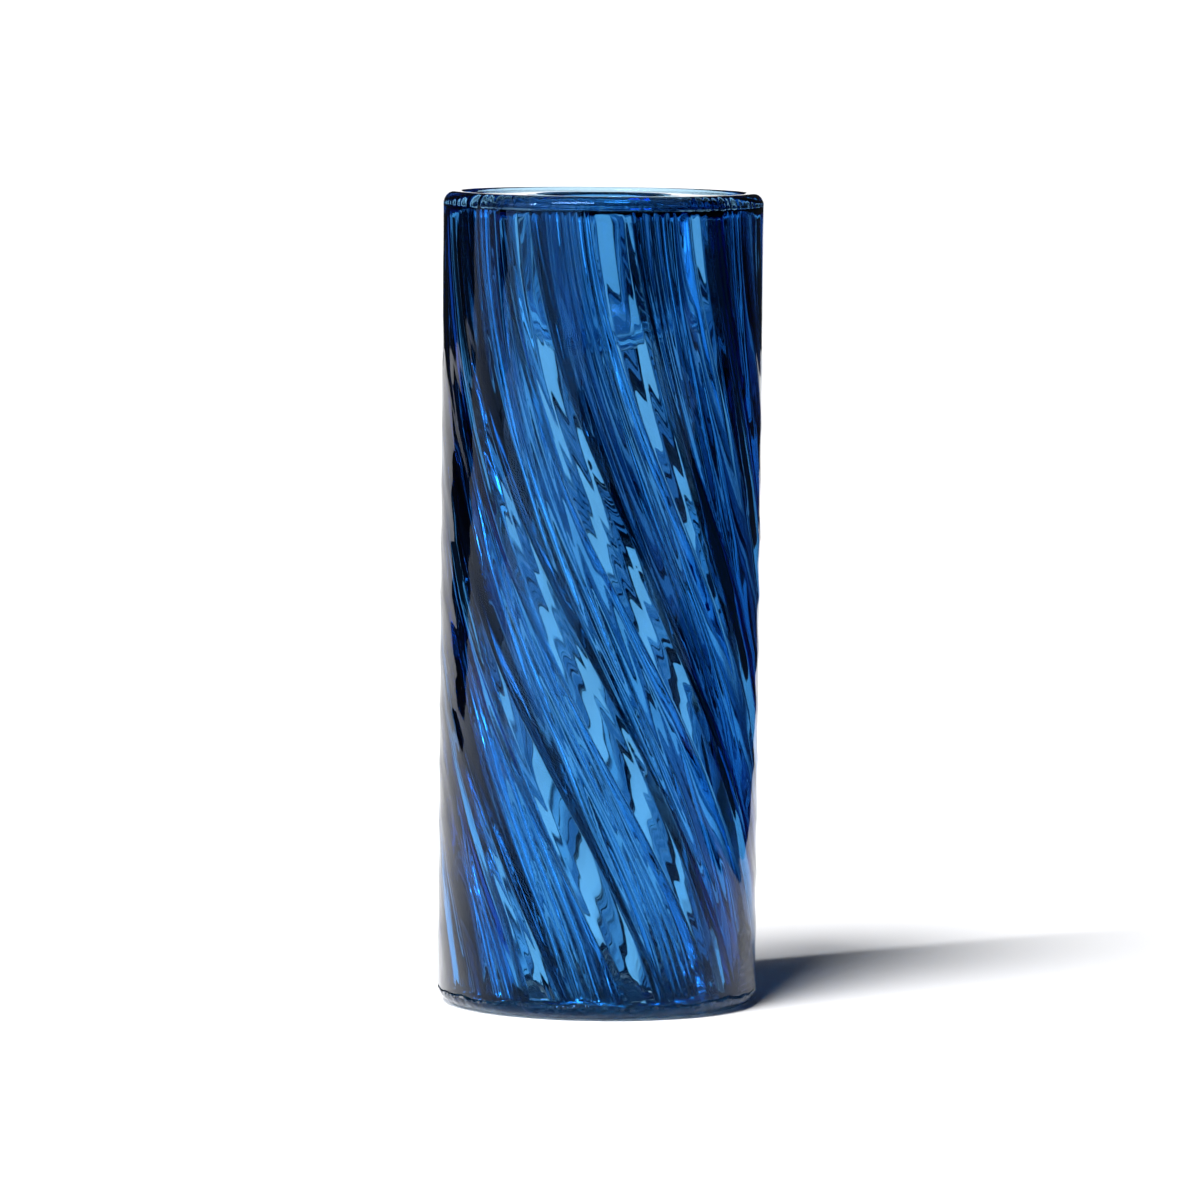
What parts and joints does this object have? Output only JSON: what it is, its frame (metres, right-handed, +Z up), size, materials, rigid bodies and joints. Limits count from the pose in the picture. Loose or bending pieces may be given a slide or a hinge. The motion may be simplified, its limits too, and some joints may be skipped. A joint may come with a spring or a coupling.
{
  "type": "glass candlestick",
  "caption": "Free-standing cylinder of blue glass with twisted ribs inside its wall, a flat foot and a lift-out cup for one 22 mm taper candle.",
  "frame": {"origin": "centre of the flat underside that the candlestick stands on", "axes": "+Z up along the cylinder's axis; -Y is the side that faces the viewer; +X to the viewer's right"},
  "size_m": [0.06, 0.06, 0.152],
  "materials": {
    "blue_glass": "clear blue glass, fire-polished and glossy",
    "rib_glass": "deeper blue glass with fine drawn striations along the twist",
    "cup_glass": "clear blue glass, smooth and glossy"
  },
  "bodies": {
    "glass_body": {"foot_disc": "blue_glass", "glass_sleeve": "blue_glass", "twisted_rib_1": "rib_glass", "twisted_rib_2": "rib_glass", "twisted_rib_3": "rib_glass", "twisted_rib_4": "rib_glass", "twisted_rib_5": "rib_glass", "twisted_rib_6": "rib_glass", "twisted_rib_7": "rib_glass", "twisted_rib_8": "rib_glass"},
    "candle_cup": {"candle_cup": "cup_glass"}
  },
  "joints": [
    {"name": "cup_lift", "type": "slide", "parent": "glass_body", "child": "candle_cup", "axis": [0, 0, 1], "range_m": [0, 0.045]}
  ]
}
